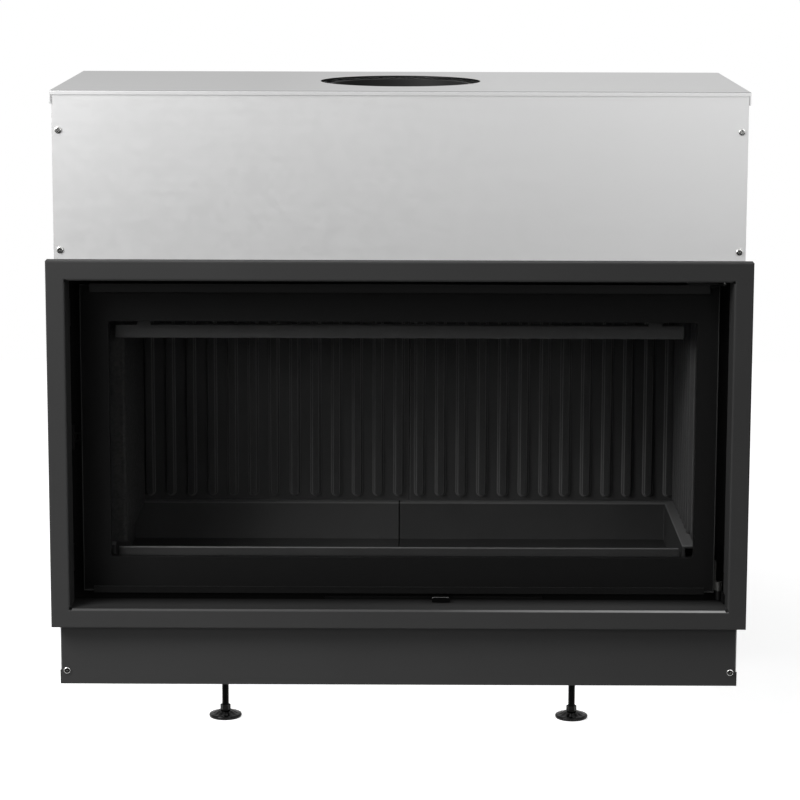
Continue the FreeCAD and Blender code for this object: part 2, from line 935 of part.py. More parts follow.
def hinge_hole(axis, length, clearance):
    """Hole for a hinge pin, past both ends of a wall."""
    past = V(0, 0, overrun)
    return bar(pin_radius + clearance, axis - past, axis + V(0, 0, length) + past)


def hinge_leaf_lower():
    """Leaf on the door's right edge, with its barrel."""
    top = leaf_bottom + leaf_height
    x = (door_half, door_half + leaf_sheet)
    leaf = slab(x, (hinge_y, door_back_y), (leaf_bottom, leaf_bottom + barrel_length))
    plate = slab(x, (gasket_back_y, door_back_y), (leaf_bottom, top))
    axis = V(hinge_x, hinge_y, leaf_bottom)
    barrel = bar(barrel_radius, axis, axis + V(0, 0, barrel_length))
    hole = hinge_hole(axis, barrel_length, running_clearance)
    return joined(leaf, plate, barrel).cut(hole)


def hinge_lug_upper():
    """Flat lug on the door's top edge that turns on the upper pin."""
    z = (door_top, lug_top)
    x = (door_half - lug_length, hinge_x)
    foot = slab(x, (glass_front_y, door_back_y), z)
    axis = V(hinge_x, hinge_y, door_top)
    tongue = slab((hinge_x - 2 * barrel_radius, hinge_x), (hinge_y, glass_front_y), z)
    eye = bar(barrel_radius, axis, axis + V(0, 0, leaf_sheet))
    return joined(foot, tongue, eye).cut(hinge_hole(axis, leaf_sheet, running_clearance))


def hinge_bracket_lower():
    """Bracket on the frame's right return, with its barrel."""
    z = (opening_bottom + hinge_foot, bracket_barrel_top)
    y = (hinge_y - hinge_forward - bracket_grip, hinge_y)
    plate = slab((opening_half - bracket_sheet, opening_half), y, z)
    axis = V(hinge_x, hinge_y, z[0])
    barrel = bar(barrel_radius, axis, axis + V(0, 0, barrel_length))
    return joined(plate, barrel).cut(hinge_hole(axis, barrel_length, 0))


def hinge_bracket_upper():
    """Bracket under the frame's top return."""
    z = (opening_top - bracket_sheet, opening_top)
    plate = slab(
        (hinge_x - bracket_grip, opening_half),
        (hinge_y - hinge_forward - bracket_grip, hinge_y + barrel_radius),
        z,
    )
    axis = V(hinge_x, hinge_y, z[0])
    return plate.cut(hinge_hole(axis, bracket_sheet, 0))


def hinge_pins():
    """Lower and upper hinge pin."""
    lower = bar(
        pin_radius,
        V(hinge_x, hinge_y, opening_bottom + hinge_foot),
        V(hinge_x, hinge_y, leaf_bottom + barrel_length),
    )
    upper = bar(pin_radius, V(hinge_x, hinge_y, door_top), V(hinge_x, hinge_y, opening_top))
    return [lower, upper]


def catch_housing():
    """Block on the front plate that guides the catch's plunger."""
    x = (catch_rear_x, catch_front_x)
    block = slab(x, (plate_front_y - catch_depth, plate_front_y), around(catch_z, catch_height))
    way = slab(
        (x[0] - overrun, x[1] + overrun),
        around(catch_y, plunger_depth + 2 * slide_clearance),
        around(catch_z, plunger_height + 2 * slide_clearance),
    )
    return block.cut(way)


def catch_plunger():
    """Sprung plunger with two ears and the roller's axle."""
    rear_x = catch_rear_x + catch_travel + plunger_stop_gap
    depth = around(catch_y, plunger_depth)
    shoulder_x = roller_x - roller_radius - slide_clearance
    stem = slab((rear_x, shoulder_x), depth, around(catch_z, plunger_height))
    ears = []
    for side in (-1, 1):
        edge = catch_z + side * plunger_height / 2
        ear_x = (shoulder_x, roller_x + 2 * roller_axle_radius)
        ears.append(slab(ear_x, depth, (edge, edge - side * plunger_ear)))
    axle = bar(
        roller_axle_radius,
        V(roller_x, catch_y, catch_z - plunger_height / 2),
        V(roller_x, catch_y, catch_z + plunger_height / 2),
    )
    return joined(stem, *ears, axle)


def catch_roller():
    """Roller that the door's strike passes."""
    length = plunger_height - 2 * plunger_ear - 2 * slide_clearance
    base = V(roller_x, catch_y, catch_z - length / 2)
    top = V(roller_x, catch_y, catch_z + length / 2)
    return bar(roller_radius, base, top).cut(bar(roller_axle_radius + running_clearance, base, top))


def catch_strike():
    """Ramped strike on the door frame's left edge."""
    edge_x = -door_half + catch_side_inset
    outline = [
        V(edge_x, catch_y - strike_depth / 2, catch_z - strike_height / 2),
        V(strike_tip_x, catch_y, catch_z - strike_height / 2),
        V(edge_x, catch_y + strike_depth / 2, catch_z - strike_height / 2),
    ]
    return prism(outline, V(0, 0, strike_height))


def slider_y():
    """Front and back of the air slider's plate."""
    back = plate_front_y - slide_clearance
    return (back - slider_sheet, back)


def air_slider():
    """Plate over the air port, slotted for its two pins, with the arm to the knob."""
    y = slider_y()
    plate = slab((slider_left, slider_right), y, (slider_bottom, slider_top))
    through = (y[0] - overrun, y[1] + overrun)
    slot_z = around(slider_top - slider_pin_drop, 2 * slot_half)
    for x in slider_pin_places:
        plate = plate.cut(slab((x - slot_half, x - slot_half + slot_length), through, slot_z))
    plate = plate.cut(slab(both(air_port_length / 2), through, air_port_span()))
    x = around(arm_place, arm_width)
    arm_z = (slider_top + arm_rise, slider_top + arm_rise + arm_sheet)
    neck = slab(x, y, (slider_top, arm_z[1]))
    arm = slab(x, (front_y + knob_setback, y[1]), arm_z)
    return joined(plate, neck, arm)


def air_knob():
    """Upright tab on the end of the slider's arm, rounded at the top."""
    z = (opening_bottom + knob_floor_gap, door_bottom - knob_headroom)
    y = (front_y + knob_setback - knob_thickness, front_y + knob_setback)
    tab = slab(around(arm_place, knob_width), y, z)

    def top_corner(edge):
        return edge.BoundBox.YLength > knob_thickness / 2 and near(edge.BoundBox.ZMin, z[1])

    return rounded(tab, knob_corner, top_corner)


def slider_pins():
    """Shoulder pins that guide the air slider."""
    y = slider_y()
    pins = []
    for x in slider_pin_places:
        z = slider_top - slider_pin_drop
        seat_y = y[0] - slide_clearance
        head = bar(slider_pin_head_radius, V(x, seat_y - slider_pin_head, z), V(x, seat_y, z))
        shoulder = bar(slider_pin_radius, V(x, seat_y, z), V(x, plate_front_y, z))
        tail = bar(slider_pin_tail_radius, V(x, plate_front_y, z), V(x, plate_back_y, z))
        pins.append(joined(head, shoulder, tail))
    return pins


def frame_stays():
    """Angles that hold the frame's returns on the front plate."""
    stays = []
    near_x = opening_half + frame_sheet
    for share in stay_shares:
        z = around(opening_bottom + share * (opening_top - opening_bottom), stay_height)
        tongue_y = (front_y + frame_return - stay_lap, plate_front_y)
        tongue = slab((near_x, near_x + stay_sheet), tongue_y, z)
        foot = slab((near_x, near_x + stay_foot), (plate_front_y - stay_sheet, plate_front_y), z)
        stay = joined(tongue, foot)
        stays += [stay, mirrored(stay)]
    return stays


def foot_pad(place):
    """Moulded pad with a finned, tapering neck."""
    base = V(place[0], place[1], 0)
    disc = bar(foot_pad_radius, base, base + V(0, 0, foot_pad_rim))
    disc = rounded(disc, foot_pad_round, lambda edge: near(edge.BoundBox.ZMin, foot_pad_rim))
    rim = base + V(0, 0, foot_pad_rim)
    neck = Part.makeCone(foot_neck_base, foot_neck_top, foot_neck_height, rim)
    reach = foot_neck_base + foot_fin_height
    envelope = Part.makeCone(reach, foot_neck_top, foot_neck_height, rim)
    pieces = [disc, neck]
    for number in range(foot_fin_count):
        fin = slab((0, reach), both(foot_fin_width / 2), (0, foot_neck_height))
        fin.rotate(V(0, 0, 0), V(0, 0, 1), 360 * number / foot_fin_count)
        fin.translate(rim)
        pieces.append(fin.common(envelope))
    return joined(*pieces)


def foot_rod(place):
    """Threaded rod with a hexagon just above the pad."""
    start = V(place[0], place[1], foot_pad_rim + foot_neck_height)
    shaft = bar(foot_rod_radius, start, V(place[0], place[1], leg_height + foot_rod_rise))
    return joined(hexagon(foot_hex_across_flats, foot_hex_height, start), shaft)


def foot_nuts():
    """Nuts on the base tray that the rods turn in."""
    nuts = []
    for x, y in foot_places:
        base = V(x, y, tray_top)
        hole = bar(foot_rod_radius + running_clearance, base, base + V(0, 0, foot_nut_height))
        nuts.append(hexagon(foot_nut_across_flats, foot_nut_height, base).cut(hole))
    return nuts


os.makedirs("parts", exist_ok=True)

save("surround_frame", surround_frame())
save("skirt_panel", skirt_panel())
save("skirt_screws", *[aimed(pan_screw(), place, V(0, -1, 0)) for place in skirt_screw_places()])
save("casing_front_panel", casing_front_panel())
save("casing_side_right", casing_side())
save("casing_side_left", mirrored(casing_side()))
save("casing_rear_panel", casing_rear_panel())
save("casing_top_lid", casing_top_lid())
save("casing_screws", *casing_screws())
save("base_tray", base_tray())
save("firebox_rail_right", firebox_rail())
save("firebox_rail_left", mirrored(firebox_rail()))
save("firebox_floor", firebox_floor())
save("firebox_side_right", firebox_side())
save("firebox_side_left", mirrored(firebox_side()))
save("firebox_back", firebox_back())
save("firebox_top", firebox_top())
save("firebox_front_plate", firebox_front_plate())
save("flue_collar", flue_collar())
save("collar_bolts", *collar_bolts())
save("fireback_left", fireback(-1))
save("fireback_right", fireback(1))
save("side_slab_left", side_slab_left())
save("side_plate_right", side_plate_right())
save("hearth_tray_right", hearth_tray())
save("hearth_tray_left", mirrored(hearth_tray()))
save("baffle_plate", baffle_plate())
save("log_retainer", log_retainer())
save("air_wash_deflector", air_wash_deflector())
save("frame_stays", *frame_stays())
save("door_frame", door_frame())
save("door_glass", door_glass())
save("glass_gasket", glass_gasket())
save("door_rope_seal", door_rope_seal())
save("glass_strip_bottom", glass_strip(door_bottom, 1, strip_bottom_lip))
save("glass_strip_top", glass_strip(door_top, -1, strip_top_lip))
save("strip_screws", *strip_screws())
save("hinge_leaf_lower", hinge_leaf_lower())
save("hinge_lug_upper", hinge_lug_upper())
save("hinge_bracket_lower", hinge_bracket_lower())
save("hinge_bracket_upper", hinge_bracket_upper())
save("hinge_pins", *hinge_pins())
save("catch_housing", catch_housing())
save("catch_plunger", catch_plunger())
save("catch_roller", catch_roller())
save("catch_strike", catch_strike())
save("air_slider", air_slider())
save("air_knob", air_knob())
save("slider_pins", *slider_pins())
save("foot_nuts", *foot_nuts())
for corner, place in zip(("front_left", "front_right", "rear_left", "rear_right"), foot_places):
    save("foot_pad_" + corner, foot_pad(place))
    save("foot_rod_" + corner, foot_rod(place))
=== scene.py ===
import json
import math
import bmesh
import bpy
from mathutils import Matrix, Vector

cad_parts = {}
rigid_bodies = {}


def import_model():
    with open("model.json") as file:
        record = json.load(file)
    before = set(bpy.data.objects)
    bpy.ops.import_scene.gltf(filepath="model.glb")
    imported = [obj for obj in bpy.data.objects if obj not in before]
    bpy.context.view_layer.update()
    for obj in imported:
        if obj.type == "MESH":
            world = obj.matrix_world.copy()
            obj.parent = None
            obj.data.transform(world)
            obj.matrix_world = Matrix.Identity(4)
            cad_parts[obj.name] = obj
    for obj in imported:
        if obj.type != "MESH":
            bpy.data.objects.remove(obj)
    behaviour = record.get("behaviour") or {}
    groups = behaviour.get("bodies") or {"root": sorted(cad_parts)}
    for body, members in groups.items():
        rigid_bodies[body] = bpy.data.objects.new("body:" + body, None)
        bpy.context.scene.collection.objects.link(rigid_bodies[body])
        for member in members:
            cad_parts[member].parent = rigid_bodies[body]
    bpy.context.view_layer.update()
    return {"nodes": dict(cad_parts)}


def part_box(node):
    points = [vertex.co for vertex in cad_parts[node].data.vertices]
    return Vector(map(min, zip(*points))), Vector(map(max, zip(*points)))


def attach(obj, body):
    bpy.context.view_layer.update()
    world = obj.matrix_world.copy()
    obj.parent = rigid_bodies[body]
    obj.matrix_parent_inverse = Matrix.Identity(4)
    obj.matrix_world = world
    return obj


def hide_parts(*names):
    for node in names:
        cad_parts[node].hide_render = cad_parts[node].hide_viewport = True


for left_over in list(bpy.data.objects):
    bpy.data.objects.remove(left_over)
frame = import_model()
nodes = frame["nodes"]


# Levelling feet: fluted pads of black moulded polyamide, blackened M10 threaded rods with a hexagon at the
# foot, and zinc-plated nuts on the base tray. The rods screw up and down, and the pads stand on the floor.
MM = 0.001
CORNERS = ("front_left", "front_right", "rear_left", "rear_right")
rod_radius = 5.0 * MM
thread_pitch = 1.5 * MM
thread_depth = 0.7 * MM
thread_start = 1.6 * MM
thread_steps = 20
thread_weld = thread_pitch / 1000
hex_sides = 6
hex_across_flats = 13.0 * MM
hex_height = 9.5 * MM
hex_chamfer = 1.6 * MM
pad_segments = 96
pad_flutes = 12
flute_depth = 1.1 * MM
flute_from, flute_to = 10.5 * MM, 20.0 * MM

# The thread's profile in shares of pitch and depth, and the pad's radius and height in mm from rim to top.
thread_profile = ((0.0, 1.0), (0.4, 0.0), (0.6, 0.0), (1.0, 1.0))
pad_profile = ((22.4, 0), (23.5, 0.5), (24, 1.5), (24, 3.2), (23.5, 4.4), (22.4, 5), (19.5, 5.3), (17, 6.3),
               (14, 7.8), (11.5, 9), (10, 9.5))


def linear(code):
    """An sRGB hex colour as linear red, green and blue, with full alpha."""
    values = []
    for start in (1, 3, 5):
        value = int(code[start:start + 2], 16) / 255
        values.append(value / 12.92 if value <= 0.04045 else ((value + 0.055) / 1.055) ** 2.4)
    return (*values, 1.0)


def add(tree, kind, settings=None, links=None):
    """One shader node, with its sockets or properties set and its inputs linked."""
    node = tree.nodes.new(kind)
    for name, value in (settings or {}).items():
        if isinstance(name, int) or name in node.inputs:
            node.inputs[name].default_value = value
        else:
            setattr(node, name, value)
    for name, socket in (links or {}).items():
        tree.links.new(socket, node.inputs[name])
    return node


def finish_named(name, **sockets):
    """A new material: its tree, its main shader and the place on the object in metres."""
    material = bpy.data.materials.new(name)
    material.use_nodes = True
    tree = material.node_tree
    shader = tree.nodes["Principled BSDF"]
    for socket, value in sockets.items():
        shader.inputs[socket.replace("_", " ")].default_value = value
    place = add(tree, "ShaderNodeTexCoord").outputs["Object"]
    return material, tree, shader, place


def surface(tree, shader, colour, roughness=None, relief=None):
    """Patterns that carry the colour between two tones, the roughness between two values, and a relief.

    A colour mix takes its share at input 0 and its tones at 6 and 7. Returns the colour for more layers.
    """
    pattern, dark, light = colour
    tint = add(tree, "ShaderNodeMix", {"data_type": "RGBA", 6: linear(dark), 7: linear(light)},
               {0: pattern})
    tree.links.new(tint.outputs[2], shader.inputs["Base Color"])
    if roughness:
        pattern, smooth, rough = roughness
        shade = add(tree, "ShaderNodeMapRange", {"To Min": smooth, "To Max": rough}, {"Value": pattern})
        tree.links.new(shade.outputs["Result"], shader.inputs["Roughness"])
    if relief:
        pattern, strength, depth = relief
        bump = add(tree, "ShaderNodeBump", {"Strength": strength, "Distance": depth}, {"Height": pattern})
        tree.links.new(bump.outputs["Normal"], shader.inputs["Normal"])
    return tint.outputs[2]


def dress(material, *names):
    """Gives CAD nodes a material in every slot."""
    for name in names:
        for slot in nodes[name].material_slots:
            slot.material = material


def mesh_piece(name, shape, material, body):
    """A new piece from a bmesh, riding on a body."""
    mesh = bpy.data.meshes.new(name)
    shape.to_mesh(mesh)
    shape.free()
    piece = bpy.data.objects.new(name, mesh)
    bpy.context.scene.collection.objects.link(piece)
    mesh.materials.append(material)
    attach(piece, body)
    return piece


# Black polyamide 6, injection moulded: a smooth deep black with a soft gloss and a fine spark-eroded grain.
polyamide, tree, shader, place = finish_named("Moulded polyamide", Specular_IOR_Level=0.16)
grain = add(tree, "ShaderNodeTexNoise", {"Scale": 1 / (0.9 * MM), "Detail": 3.0},
            {"Vector": place}).outputs["Fac"]
surface(tree, shader, colour=(grain, "#080808", "#0d0d0d"), roughness=(grain, 0.05, 0.12),
        relief=(grain, 0.12, 0.1 * MM))

# Blackened steel, chemically blacked after the thread was rolled: a dark and slightly blotched metal.
blackened, tree, shader, place = finish_named("Blackened steel", Metallic=1.0)
blotch = add(tree, "ShaderNodeTexNoise", {"Scale": 1 / (6 * MM), "Detail": 4.0},
             {"Vector": place}).outputs["Fac"]
surface(tree, shader, colour=(blotch, "#141414", "#242423"), roughness=(blotch, 0.34, 0.52))

# Zinc-plated steel, barrel plated and passivated: a pale, slightly cloudy shine, with painted shade in the
# recesses.
zinc, tree, shader, place = finish_named("Zinc plated steel", Metallic=1.0)
cloud = add(tree, "ShaderNodeTexNoise", {"Scale": 1 / (3 * MM), "Detail": 3.0},
            {"Vector": place}).outputs["Fac"]
plating = surface(tree, shader, colour=(cloud, "#c2c2c0", "#dcdcda"), roughness=(cloud, 0.14, 0.26))
# Painted shade: occlusion darkens the recesses of the screw heads.
open_sky = add(tree, "ShaderNodeAmbientOcclusion", {"samples": 8, "Distance": 1.1 * MM})
hollow = add(tree, "ShaderNodeMapRange", {"From Min": 0.8, "From Max": 0.35},
             {"Value": open_sky.outputs["AO"]})
recess_shade = add(tree, "ShaderNodeMix", {"data_type": "RGBA", 7: linear("#1a1a1a")},
            {0: hollow.outputs["Result"], 6: plating})
tree.links.new(recess_shade.outputs[2], shader.inputs["Base Color"])
dress(zinc, "foot_nuts")


def threaded_rod(low, high):
    """Hexagon with chamfered corners, then a helical thread up to the top."""
    shape = bmesh.new()
    middle = (low + high) / 2
    foot = Vector((middle.x, middle.y, low.z))
    hex_corner = hex_across_flats / math.sqrt(3)
    rows = []
    for turn in range(hex_sides):
        angle = 2 * math.pi * turn / hex_sides
        out = Vector((math.cos(angle), math.sin(angle), 0))
        corner = foot + out * hex_corner
        inner = foot + out * (hex_corner - hex_chamfer)
        rows.append([
            shape.verts.new(inner),
            shape.verts.new(corner + Vector((0, 0, hex_chamfer / 2))),
            shape.verts.new(corner + Vector((0, 0, hex_height - hex_chamfer / 2))),
            shape.verts.new(inner + Vector((0, 0, hex_height))),
        ])
    for here, after in zip(rows, rows[1:] + rows[:1]):
        for level in range(len(here) - 1):
            shape.faces.new((here[level], after[level], after[level + 1], here[level + 1]))
    shape.faces.new([row[0] for row in reversed(rows)])
    shape.faces.new([row[-1] for row in rows])
    start = low.z + hex_height - thread_start
    turns = int((high.z - start - thread_pitch) / thread_pitch)
    sections = []
    for step in range(turns * thread_steps + 1):
        angle = 2 * math.pi * step / thread_steps
        out = Vector((math.cos(angle), math.sin(angle), 0))
        rise = start + thread_pitch * step / thread_steps
        section = []
        for share, depth in thread_profile:
            level = rise + share * thread_pitch
            reach = out * (rod_radius - depth * thread_depth)
            section.append(shape.verts.new(Vector((middle.x, middle.y, level)) + reach))
        sections.append(section)
    for here, after in zip(sections, sections[1:]):
        for level in range(len(thread_profile) - 1):
            shape.faces.new((here[level], after[level], after[level + 1], here[level + 1]))
    bmesh.ops.remove_doubles(shape, verts=shape.verts, dist=thread_weld)
    bmesh.ops.create_cone(
        shape, cap_ends=True, segments=thread_steps, radius1=rod_radius, radius2=rod_radius - thread_depth,
        depth=thread_pitch, matrix=Matrix.Translation((middle.x, middle.y, high.z - thread_pitch / 2)))
    bmesh.ops.recalc_face_normals(shape, faces=shape.faces)
    return shape


def fluted_pad(low, high):
    """Round pad turned from its profile, with shallow flutes in its domed top."""
    shape = bmesh.new()
    middle = Vector(((low.x + high.x) / 2, (low.y + high.y) / 2, low.z))
    rings = []
    for radius, level in pad_profile:
        reach = radius * MM
        share = (reach - flute_from) / (flute_to - flute_from)
        hollow = flute_depth * math.sin(math.pi * share) if 0 < share < 1 else 0.0
        ring = []
        for step in range(pad_segments):
            angle = 2 * math.pi * step / pad_segments
            drop = hollow * (0.5 - 0.5 * math.cos(pad_flutes * angle))
            point = Vector((reach * math.cos(angle), reach * math.sin(angle), level * MM - drop))
            ring.append(shape.verts.new(middle + point))
        rings.append(ring)
    for here, after in zip(rings, rings[1:]):
        for step in range(pad_segments):
            turn = (step + 1) % pad_segments
            face = shape.faces.new((here[step], here[turn], after[turn], after[step]))
            face.smooth = True
    shape.faces.new(rings[0][::-1])
    shape.faces.new(rings[-1])
    return shape


for corner in CORNERS:
    pad = mesh_piece("fluted_pad_" + corner, fluted_pad(*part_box("foot_pad_" + corner)), polyamide,
                     "foot_" + corner)
    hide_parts("foot_pad_" + corner)
    rod = mesh_piece("threaded_rod_" + corner, threaded_rod(*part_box("foot_rod_" + corner)), blackened,
                     "foot_" + corner)
    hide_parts("foot_rod_" + corner)


# Casing: base tray, two sides, rear panel, front panel and lid, cut and folded from galvanised sheet.
# The lid's edges are turned down over the sides, and pan-head screws hold the sheets together.
SHEETS = ("base_tray", "casing_side_left", "casing_side_right", "casing_rear_panel", "casing_front_panel")
weld_reach = 0.002 * MM
level_within = math.radians(0.5)
sharp_from = math.radians(40)
edge_segments = 2
lid_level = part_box("casing_top_lid")[0].z
lid_hole = 117 * MM
flue_back = 12 * MM
shade_outer, shade_inner = lid_hole + 1.0 * MM, lid_hole + 0.7 * MM
lid_shade_right, lid_shade_left = 150 * MM, -200 * MM
bright_reach = 350 * MM

# How squarely a face looks one way to count as flat, and how far a fold looks up and forward at once.
flat_from, flat_to = 0.9, 0.98
fold_from, fold_to = 0.15, 0.4


def soften(*names, width):
    """Joins level faces of CAD nodes and rounds their sharp edges a little, as folding and deburring do."""
    for name in names:
        weld = nodes[name].modifiers.new("weld", "WELD")
        weld.merge_threshold = weld_reach
        flats = nodes[name].modifiers.new("flats", "DECIMATE")
        flats.decimate_type = "DISSOLVE"
        flats.angle_limit = level_within
        bevel = nodes[name].modifiers.new("bevel", "BEVEL")
        bevel.width = width
        bevel.segments = edge_segments
        bevel.limit_method = "ANGLE"
        bevel.angle_limit = sharp_from
        bevel.use_clamp_overlap = True
        smooth = nodes[name].modifiers.new("smooth", "WEIGHTED_NORMAL")
        smooth.keep_sharp = False


def facing_axes(tree):
    """Which way the surface looks, as its shares along X, Y and Z."""
    normal = add(tree, "ShaderNodeTexCoord").outputs["Normal"]
    return add(tree, "ShaderNodeSeparateXYZ", None, {"Vector": normal}).outputs


def front_fold(tree, facing):
    """1 on a fold that looks up and forward at once, 0 on flat faces."""
    upward = add(tree, "ShaderNodeMapRange", {"From Min": fold_from, "From Max": fold_to},
                 {"Value": facing["Z"]})
    forward = add(tree, "ShaderNodeMapRange", {"From Min": -fold_from, "From Max": -fold_to},
                  {"Value": facing["Y"]})
    fold = add(tree, "ShaderNodeMath", {"operation": "MULTIPLY"},
               {0: upward.outputs["Result"], 1: forward.outputs["Result"]})
    return fold.outputs["Value"]


# Galvanised sheet, hot dipped and skin passed: a pale satin grey with rolling streaks and faint spangle.
# The spangle is drawn at 9 mm, coarser than it is, so that it shows at all.
galvanised, tree, shader, place = finish_named("Galvanised sheet", Metallic=1.0,
                                               Specular_Tint=linear("#c4c4c4"))
spangle = add(tree, "ShaderNodeTexVoronoi", {"Scale": 1 / (9 * MM)}, {"Vector": place})
cell = add(tree, "ShaderNodeSeparateColor", None, {"Color": spangle.outputs["Color"]})
streak_place = add(tree, "ShaderNodeMapping", {"Scale": (1 / (260 * MM), 1 / (14 * MM), 1 / (9 * MM))},
                   {"Vector": place})
streak = add(tree, "ShaderNodeTexNoise", {"Scale": 1.0, "Detail": 4.0, "Roughness": 0.6},
             {"Vector": streak_place.outputs["Vector"]}).outputs["Fac"]
mottle = add(tree, "ShaderNodeMix", {"data_type": "FLOAT", 0: 0.35},
             {2: streak, 3: cell.outputs["Red"]}).outputs[0]
coating = surface(tree, shader, colour=(mottle, "#d2d2d2", "#d6d6d6"), roughness=(mottle, 0.44, 0.5),
                  relief=(streak, 0.03, 0.05 * MM))
spot = add(tree, "ShaderNodeSeparateXYZ", None, {"Vector": place}).outputs
facing = facing_axes(tree)

# Painted light makes it a little brighter towards the right of the front panel.
front_flat = add(tree, "ShaderNodeMapRange", {"From Min": -flat_from, "From Max": -flat_to},
                 {"Value": facing["Y"]})
front_right = add(tree, "ShaderNodeMapRange", {"From Min": -bright_reach, "From Max": bright_reach},
                  {"Value": spot["X"]})
painted_light_share = add(tree, "ShaderNodeMath", {"operation": "MULTIPLY"},
                   {0: front_flat.outputs["Result"], 1: front_right.outputs["Result"]})
painted_light = add(tree, "ShaderNodeMix", {"data_type": "RGBA", 7: linear("#e1e1e1")},
               {0: painted_light_share.outputs["Value"], 6: coating})

# Painted shade darkens it towards the left of the lid, and along the front fold.
lid_flat = add(tree, "ShaderNodeMapRange", {"From Min": flat_from, "From Max": flat_to},
               {"Value": facing["Z"]})
lid_left = add(tree, "ShaderNodeMapRange", {"From Min": lid_shade_right, "From Max": lid_shade_left},
               {"Value": spot["X"]})
lid_shade_share = add(tree, "ShaderNodeMath", {"operation": "MULTIPLY"},
                 {0: lid_flat.outputs["Result"], 1: lid_left.outputs["Result"]})
painted_shade = add(tree, "ShaderNodeMix", {"data_type": "RGBA", 7: linear("#c2c2c2")},
             {0: lid_shade_share.outputs["Value"], 6: painted_light.outputs[2]})
fold_shade = add(tree, "ShaderNodeMix", {"data_type": "RGBA", 7: linear("#9a9a9a")},
              {0: front_fold(tree, facing), 6: painted_shade.outputs[2]})

# Painted shade darkens the cut edge of the flue hole.
in_plan = add(tree, "ShaderNodeVectorMath", {"operation": "MULTIPLY", 1: (1.0, 1.0, 0.0)}, {0: place})
from_flue = add(tree, "ShaderNodeVectorMath", {"operation": "DISTANCE", 1: (0.0, flue_back, 0.0)},
                {0: in_plan.outputs["Vector"]})
hole_edge = add(tree, "ShaderNodeMapRange", {"From Min": shade_outer, "From Max": shade_inner},
                {"Value": from_flue.outputs["Value"]})
lid_height = add(tree, "ShaderNodeMath", {"operation": "GREATER_THAN", 1: lid_level}, {0: spot["Z"]})
hole_shade_share = add(tree, "ShaderNodeMath", {"operation": "MULTIPLY"},
                  {0: hole_edge.outputs["Result"], 1: lid_height.outputs["Value"]})
hole_shade = add(tree, "ShaderNodeMix", {"data_type": "RGBA", 7: linear("#262626")},
            {0: hole_shade_share.outputs["Value"], 6: fold_shade.outputs[2]})
tree.links.new(hole_shade.outputs[2], shader.inputs["Base Color"])
dress(galvanised, "casing_top_lid", *SHEETS)
soften("casing_top_lid", width=0.6 * MM)
soften(*SHEETS, width=0.4 * MM)
dress(zinc, "casing_screws", "skirt_screws", "collar_bolts")


# Firebox shell: floor, sides, back, top and front plate of welded 4 mm steel, on two folded rails, with the
# flue collar bolted on top, the air-wash deflector behind the window and the stays that hold the frame.
SHELL = ("firebox_rail_left", "firebox_rail_right", "firebox_floor", "firebox_side_left",
         "firebox_side_right", "firebox_back", "firebox_top", "flue_collar", "frame_stays")

# Heat-resistant paint, silicone based and sprayed matt: near black, slightly grainy, greyer where thin.
stove_paint, tree, shader, place = finish_named("Heat resistant paint", Specular_IOR_Level=0.25)
grit = add(tree, "ShaderNodeTexNoise", {"Scale": 1 / (0.7 * MM), "Detail": 2.0},
           {"Vector": place}).outputs["Fac"]
cloud = add(tree, "ShaderNodeTexNoise", {"Scale": 1 / (60 * MM), "Detail": 4.0},
            {"Vector": place}).outputs["Fac"]
surface(tree, shader, colour=(cloud, "#171717", "#202020"), roughness=(grit, 0.52, 0.72),
        relief=(grit, 0.2, 0.08 * MM))
dress(stove_paint, *SHELL)

# Near-black paint on the front plate, darker than the shell's: painted shade for the gap under the door, a
# dull, patchy black.
shade_black_paint, tree, shader, place = finish_named("Shadow paint", Specular_IOR_Level=0.1)
film = add(tree, "ShaderNodeTexNoise", {"Scale": 1 / (40 * MM), "Detail": 4.0},
           {"Vector": place}).outputs["Fac"]
surface(tree, shader, colour=(film, "#060606", "#0d0d0d"), roughness=(film, 0.6, 0.8))
dress(shade_black_paint, "firebox_front_plate")

# Scaled steel of the deflector, fired once without paint: an even dark grey, dry and slightly blotched.
scaled_steel, tree, shader, place = finish_named("Scaled steel", Specular_IOR_Level=0.25)
scale = add(tree, "ShaderNodeTexNoise", {"Scale": 1 / (25 * MM), "Detail": 5.0},
            {"Vector": place}).outputs["Fac"]
surface(tree, shader, colour=(scale, "#343434", "#3e3e3e"), roughness=(scale, 0.6, 0.8))
dress(scaled_steel, "air_wash_deflector")
soften("firebox_front_plate", "air_wash_deflector", "flue_collar", width=0.5 * MM)


# Firebox lining: ribbed fireback halves, ribbed right side plate, two hearth trays and the log retainer, all
# of sand-cast iron that hangs or lies loose; a plain refractory slab on the left and a refractory baffle.
tray_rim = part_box("hearth_tray_left")[1].z
rim_from, rim_to = tray_rim - 2.0 * MM, tray_rim - 0.5 * MM
corner_from, corner_to = 0.94, 0.85


def rounded_corners(tree):
    """1 on the rounded corners of a squarely built casting, 0 on its faces and steep flanks."""
    axes = add(tree, "ShaderNodeVectorMath", {"operation": "ABSOLUTE"},
               {0: add(tree, "ShaderNodeTexCoord").outputs["Normal"]})
    axis = add(tree, "ShaderNodeSeparateXYZ", None, {"Vector": axes.outputs["Vector"]}).outputs
    larger = add(tree, "ShaderNodeMath", {"operation": "MAXIMUM"}, {0: axis["X"], 1: axis["Y"]})
    largest = add(tree, "ShaderNodeMath", {"operation": "MAXIMUM"},
                  {0: larger.outputs["Value"], 1: axis["Z"]})
    return add(tree, "ShaderNodeMapRange", {"From Min": corner_from, "From Max": corner_to},
               {"Value": largest.outputs["Value"]})


def upper_rim(tree):
    """1 on the rim of the hearth trays, 0 below it."""
    place = add(tree, "ShaderNodeTexCoord").outputs["Object"]
    height = add(tree, "ShaderNodeSeparateXYZ", None, {"Vector": place}).outputs["Z"]
    return add(tree, "ShaderNodeMapRange", {"From Min": rim_from, "From Max": rim_to}, {"Value": height})


